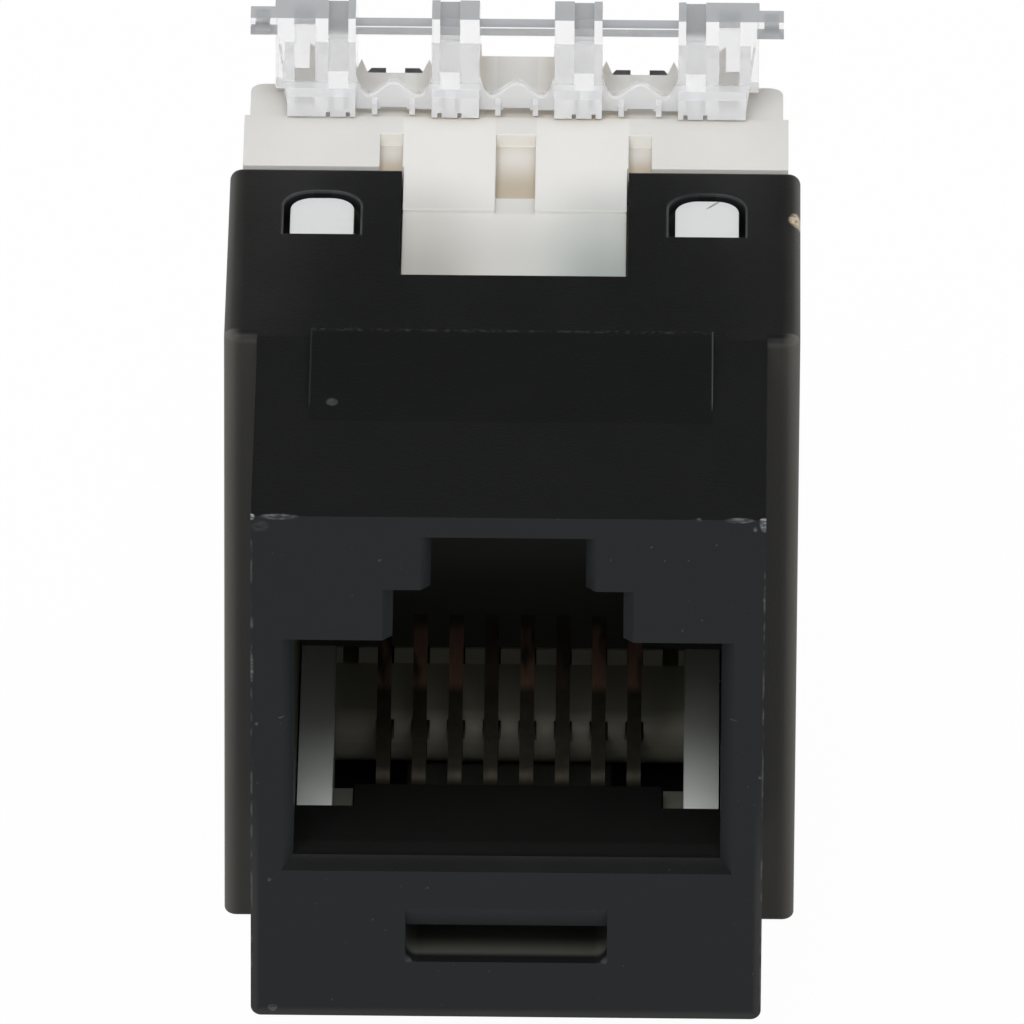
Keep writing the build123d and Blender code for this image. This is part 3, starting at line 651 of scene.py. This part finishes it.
def sled_resin(plastics):
    """Ivory of the sled, with painted shade deeper in the port, on its bar and comb and on its ledges."""
    material, finish = new_finish("ivory_sled")
    where = finish.where()
    right, depth, _ = finish.parts(finish.place(where))
    cloud = finish.noise(where, 1.4 * MM, 2.0)
    comb = finish.step(abs(right), COMB_HALF + FADE, COMB_HALF - FADE)
    comb = comb * finish.step(depth, 8.3 * MM, 8.6 * MM)
    ledge_shade = finish.step(abs(right), COMB_HALF, COMB_HALF - FADE) * finish.step(depth, 6.0 * MM, 5.5 * MM)
    shaded = finish.step(depth, 4.5 * MM, 9.0 * MM) * (1 - comb)
    tone = finish.mix(cloud * 0.15, plastics.sled_rail, plastics.ivory_warm_shade)
    # Painted shade: darker deeper in the port, on the bar and comb and on the ledges
    tone = finish.mix(shaded * 0.3, tone, plastics.sled)
    tone = finish.mix(comb, tone, plastics.sled)
    tone = finish.mix(ledge_shade, tone, plastics.sled_ledge_shade)
    ivory_surface(finish, plastics, where, tone)
    return material


def clear_resin(plastics):
    """Clear resin, with painted shade as grey haze where it faces up and on the backs of the wire slots,
    and a painted highlight as white haze on the posts' feet.
    """
    material, finish = new_finish("clear_cap")
    where = finish.where()
    _, depth, drop = finish.parts(finish.place(where))
    wave = finish.noise(where, 1.1 * MM, 1.0)

    # Upper ends of the posts with the backs of their wire slots, given painted shade, and the feet in
    # front, given a painted highlight
    high = finish.step(drop, -0.9 * MM, -1.5 * MM)
    slot_back = finish.step(abs(depth - (CAP_FRONT + 2.7 * MM)), 0.09 * MM, 0.05 * MM)
    top = finish.math_max(finish.step(finish.facing()[2], 0.45, 0.9), slot_back) * high
    foot = finish.step(depth, CAP_FRONT + 0.8 * MM, CAP_FRONT + 0.65 * MM)
    foot = foot * finish.step(drop, -1.0 * MM, -0.85 * MM)

    # Painted shade on the tops and painted highlight on the feet
    tone = finish.mix(top, plastics.clear, plastics.clear_top_shade)
    share = plastics.clear_haze + top * (plastics.clear_haze_top_shade - plastics.clear_haze)
    share = finish.math_max(share, foot * plastics.clear_haze_foot_highlight)
    roughness = plastics.clear_roughness + 0.03 * wave
    normal = finish.bump(wave, 0.01 * MM)
    glass = finish.principled(
        {
            "Base Color": (1.0, 1.0, 1.0, 1.0),
            "Roughness": roughness,
            "IOR": 1.12,
            "Transmission Weight": 1.0,
            "Coat Weight": 0.6,
            "Coat Roughness": 0.05,
            "Normal": normal,
        }
    )
    haze = finish.principled({"Base Color": tone, "Roughness": 0.2 + roughness, "Normal": normal})
    finish.show(finish.node("ShaderNodeMixShader", {}, {0: share, 1: glass, 2: haze}))
    return material


def metal_surface(finish, tone, roughness, drawn):
    """Bare metal with fine drawing marks, joined to the output."""
    surface = finish.principled(
        {
            "Base Color": tone,
            "Metallic": 1.0,
            "Roughness": roughness,
            "Normal": finish.bump(drawn, 0.003 * MM),
        }
    )
    finish.show(surface)


def contact_metal(metals):
    """Spring wire: dark with painted shade, copper in patches towards its free end, and darker again at its
    free end with painted shade.
    """
    material, finish = new_finish("contact_metal")
    where = finish.where()
    right, depth, _ = finish.parts(finish.place(where))
    patch = finish.step(finish.noise(where, 0.9 * MM, 2.0, stretch=(0.7, 3.0, 3.0)), 0.34, 0.5)
    drawn = finish.noise(where, 0.05 * MM, 2.0, stretch=(1.0, 8.0, 8.0))
    spots = finish.step(finish.noise(where, 0.35 * MM, 3.0), 0.3, 0.8)
    bare = finish.step(depth, 7.2 * MM, 7.6 * MM) * finish.step(depth, 9.6 * MM, 9.1 * MM)
    tip_shade = finish.step(depth, 9.0 * MM, 9.6 * MM)

    # Two of the wires are dull all over
    dulled = 0
    for name in DULLED_CONTACTS:
        low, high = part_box(name)
        to_wire = abs(right - (low.x + high.x) / 2)
        dulled = finish.math_max(finish.step(to_wire, 0.35 * MM, 0.25 * MM), dulled)

    tone = finish.mix(spots, metals.wire_shade, scaled(metals.wire_shade, 1.4))
    tone = finish.mix(bare * patch * (1 - 0.85 * dulled), tone, metals.copper)
    # Painted shade at the free end
    tone = finish.mix(tip_shade * 0.85, tone, metals.tip_shade)
    tone = finish.mix(drawn * 0.3, tone, scaled(metals.wire_shade, 0.5))
    metal_surface(finish, tone, metals.wire_roughness + 0.2 * (drawn - 0.5), drawn)
    return material


def fork_metal(metals):
    """Stamped and tinned bronze, dulled in patches."""
    material, finish = new_finish("fork_metal")
    where = finish.where()
    drawn = finish.noise(where, 0.06 * MM, 2.0, stretch=(1.0, 6.0, 1.0))
    dull = finish.step(finish.noise(where, 0.7 * MM, 3.0), 0.4, 0.7)
    tone = finish.mix(dull * 0.6, metals.tin, scaled(metals.tin, 0.55))
    metal_surface(finish, tone, metals.metal_roughness + 0.15 * dull + 0.15 * (drawn - 0.5), drawn)
    return material


def board_laminate(metals):
    """Green solder mask over woven glass."""
    material, finish = new_finish("board")
    where = finish.where()
    across, _, up = finish.parts(where)
    turns = 2 * math.pi / (0.25 * MM)
    weave = (across.math("SINE", across * turns) * up.math("SINE", up * turns)) * 0.5 + 0.5
    tone = finish.mix(weave * 0.3, metals.board, scaled(metals.board, 1.7))
    surface = finish.principled(
        {
            "Base Color": tone,
            "Roughness": 0.28 + 0.1 * weave,
            "Coat Weight": 0.3,
            "Normal": finish.bump(weave, 0.004 * MM),
        }
    )
    finish.show(surface)
    return material


def dress(name, material):
    """Gives a CAD node its material, in a new slot if it has none."""
    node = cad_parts[name]
    if not node.material_slots:
        node.data.materials.append(material)
    for holder in node.material_slots:
        holder.material = material
    return node


def soften(node, width):
    """Rounds a moulded piece's edges without touching its own mesh."""
    weld = node.modifiers.new("Join faces", "WELD")
    weld.merge_threshold = 0.0005 * MM
    plain = node.modifiers.new("Clear flats", "DECIMATE")
    plain.decimate_type = "DISSOLVE"
    plain.angle_limit = math.radians(0.5)
    edge = node.modifiers.new("Moulded edge", "BEVEL")
    edge.width = width
    edge.segments = 2
    edge.limit_method = "ANGLE"
    edge.angle_limit = math.radians(35.0)
    edge.use_clamp_overlap = True
    edge.harden_normals = False


class KEYSTONE_OT_housing(bpy.types.Operator):
    """Finish the black housing with its wear"""

    bl_idname = "keystone.housing"
    bl_label = "Housing"

    def execute(self, context):
        scene = context.scene
        material = black_resin(scene.keystone_plastics, scene.keystone_wear)
        node = dress("housing", material)
        soften(node, scene.keystone_plastics.edge)
        return {"FINISHED"}


class KEYSTONE_OT_terminal_block(bpy.types.Operator):
    """Finish the ivory terminal block"""

    bl_idname = "keystone.terminal_block"
    bl_label = "Terminal block"

    def execute(self, context):
        scene = context.scene
        material = block_resin(scene.keystone_plastics, scene.keystone_wear)
        node = dress("terminal_block", material)
        soften(node, scene.keystone_plastics.edge)
        return {"FINISHED"}


class KEYSTONE_OT_contact_sled(bpy.types.Operator):
    """Finish the sled in the port"""

    bl_idname = "keystone.contact_sled"
    bl_label = "Contact sled"

    def execute(self, context):
        plastics = context.scene.keystone_plastics
        node = dress("contact_sled", sled_resin(plastics))
        soften(node, plastics.edge)
        return {"FINISHED"}


class KEYSTONE_OT_circuit_board(bpy.types.Operator):
    """Finish the circuit board behind the port"""

    bl_idname = "keystone.circuit_board"
    bl_label = "Circuit board"

    def execute(self, context):
        dress("circuit_board", board_laminate(context.scene.keystone_metals))
        return {"FINISHED"}


class KEYSTONE_OT_contacts(bpy.types.Operator):
    """Finish the eight contact wires"""

    bl_idname = "keystone.contacts"
    bl_label = "Contact wires"

    def execute(self, context):
        material = contact_metal(context.scene.keystone_metals)
        for name in CONTACTS:
            dress(name, material)
        return {"FINISHED"}


class KEYSTONE_OT_forks(bpy.types.Operator):
    """Finish the eight insulation-displacement forks"""

    bl_idname = "keystone.forks"
    bl_label = "Forks"

    def execute(self, context):
        material = fork_metal(context.scene.keystone_metals)
        for name in FORKS:
            dress(name, material)
        return {"FINISHED"}


class KEYSTONE_OT_wire_cap(bpy.types.Operator):
    """Finish the clear wire cap"""

    bl_idname = "keystone.wire_cap"
    bl_label = "Wire cap"

    def execute(self, context):
        plastics = context.scene.keystone_plastics
        node = dress("wire_cap", clear_resin(plastics))
        soften(node, plastics.edge)
        return {"FINISHED"}


def add_floor(stage):
    """Pale floor that reads as white and keeps a faint shadow."""
    half = 3.0  # far past what any camera sees
    mesh = bpy.data.meshes.new("floor")
    corners = [(-half, -half, 0), (half, -half, 0), (half, half, 0), (-half, half, 0)]
    mesh.from_pydata(corners, [], [(0, 1, 2, 3)])
    floor = bpy.data.objects.new("floor", mesh)
    bpy.context.scene.collection.objects.link(floor)
    material, finish = new_finish("floor_paper")
    direct = finish.math_max(finish.ray("Camera"), finish.ray("Transmission"))
    seen = finish.math_max(direct * stage.floor_glow, finish.ray("Glossy") * stage.floor_shine)
    colour = finish.mix(finish.ray("Diffuse"), stage.floor, stage.floor_bounce)
    paper = finish.node("ShaderNodeBsdfDiffuse", {}, {"Color": colour})
    glow = finish.node("ShaderNodeEmission", {}, {"Color": (1, 1, 1, 1), "Strength": 1.0})
    finish.show(finish.node("ShaderNodeMixShader", {}, {0: seen, 1: paper, 2: glow}))
    floor.data.materials.append(material)


def add_world(stage):
    """Even soft light, seen as white behind the object."""
    world = bpy.data.worlds.new("studio")
    world.use_nodes = True
    bpy.context.scene.world = world
    finish = Finish(world.node_tree)
    sideways, _, rise = finish.parts(finish.node("ShaderNodeTexCoord", output="Generated"))
    over_edge = rise - abs(sideways) * stage.backdrop_side
    backdrop = finish.step(over_edge, stage.backdrop_top + 0.25, stage.backdrop_top)
    reflected = stage.ceiling + (1 - stage.ceiling) * backdrop
    refracted = stage.clear_ceiling + (1 - stage.clear_ceiling) * finish.step(rise, 0.5, 0.2)
    bent = reflected + finish.ray("Transmission") * (refracted - reflected)
    soft = stage.fill_low + (stage.fill_high - stage.fill_low) * finish.step(rise, 0.0, 0.9)
    strength = soft + finish.ray("Glossy") * (bent - soft)
    strength = strength + finish.ray("Camera") * (1 - strength)
    light = finish.node("ShaderNodeBackground", {}, {"Color": (1, 1, 1, 1), "Strength": strength})
    finish.node("ShaderNodeOutputWorld", {}, {"Surface": light})


def add_lamp(name, place, width, power):
    """Square soft lamp at a place, turned to the middle of the jack."""
    lamp = bpy.data.lights.new(name, "AREA")
    lamp.energy = power
    lamp.size = width
    holder = bpy.data.objects.new(name, lamp)
    bpy.context.scene.collection.objects.link(holder)
    target = (FRAME_LOW + FRAME_HIGH) / 2
    holder.location = place
    holder.rotation_euler = (target - Vector(place)).to_track_quat("-Z", "Y").to_euler()


def add_camera(stage):
    """Long lens in front of and above the port."""
    data = bpy.data.cameras.new("camera")
    data.lens = stage.lens
    data.sensor_width = 36.0
    data.clip_start = 0.05
    data.clip_end = 10.0
    camera = bpy.data.objects.new("camera", data)
    bpy.context.scene.collection.objects.link(camera)
    across, up = math.cos(stage.elevation), math.sin(stage.elevation)
    back = Vector((math.sin(stage.azimuth) * across, -math.cos(stage.azimuth) * across, up))
    target = Vector((stage.aim_right, FRONT, NOSE_TOP + stage.aim_up))
    turn = (-back).to_track_quat("-Z", "Y").to_matrix() @ Matrix.Rotation(stage.roll, 3, "Z")
    camera.matrix_world = Matrix.Translation(target + back * stage.distance) @ turn.to_4x4()
    bpy.context.scene.camera = camera


class KEYSTONE_OT_stage(bpy.types.Operator):
    """Set up the floor, the light and the camera"""

    bl_idname = "keystone.stage"
    bl_label = "Stage"

    def execute(self, context):
        stage = context.scene.keystone_stage
        context.scene.view_settings.view_transform = "Standard"
        add_floor(stage)
        add_world(stage)
        for name, place, width, power in LAMPS:
            add_lamp(name, place, width, getattr(stage, power))
        add_camera(stage)
        return {"FINISHED"}


OPERATORS = (
    KEYSTONE_OT_housing,
    KEYSTONE_OT_terminal_block,
    KEYSTONE_OT_contact_sled,
    KEYSTONE_OT_circuit_board,
    KEYSTONE_OT_contacts,
    KEYSTONE_OT_forks,
    KEYSTONE_OT_wire_cap,
    KEYSTONE_OT_stage,
)


class KEYSTONE_PT_finish(bpy.types.Panel):
    """Lists the settings and the steps in the sidebar"""

    bl_idname = "KEYSTONE_PT_finish"
    bl_label = "Keystone jack"
    bl_space_type = "VIEW_3D"
    bl_region_type = "UI"
    bl_category = "Keystone"

    def draw(self, context):
        layout = self.layout
        for group_name, group in SETTINGS.items():
            box = layout.box()
            for setting in group.__annotations__:
                box.prop(getattr(context.scene, group_name), setting)
        for operator in OPERATORS:
            layout.operator(operator.bl_idname)


def register():
    for group_name, group in SETTINGS.items():
        bpy.utils.register_class(group)
        setattr(bpy.types.Scene, group_name, PointerProperty(type=group))
    for kind in (*OPERATORS, KEYSTONE_PT_finish):
        bpy.utils.register_class(kind)


def unregister():
    for kind in reversed((*OPERATORS, KEYSTONE_PT_finish)):
        bpy.utils.unregister_class(kind)
    for group_name, group in SETTINGS.items():
        delattr(bpy.types.Scene, group_name)
        bpy.utils.unregister_class(group)


def main():
    """Dresses the whole jack."""
    register()
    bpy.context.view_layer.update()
    for operator in OPERATORS:
        area, name = operator.bl_idname.split(".")
        getattr(getattr(bpy.ops, area), name)()
    bpy.context.view_layer.update()


if __name__ == "__main__":
    main()
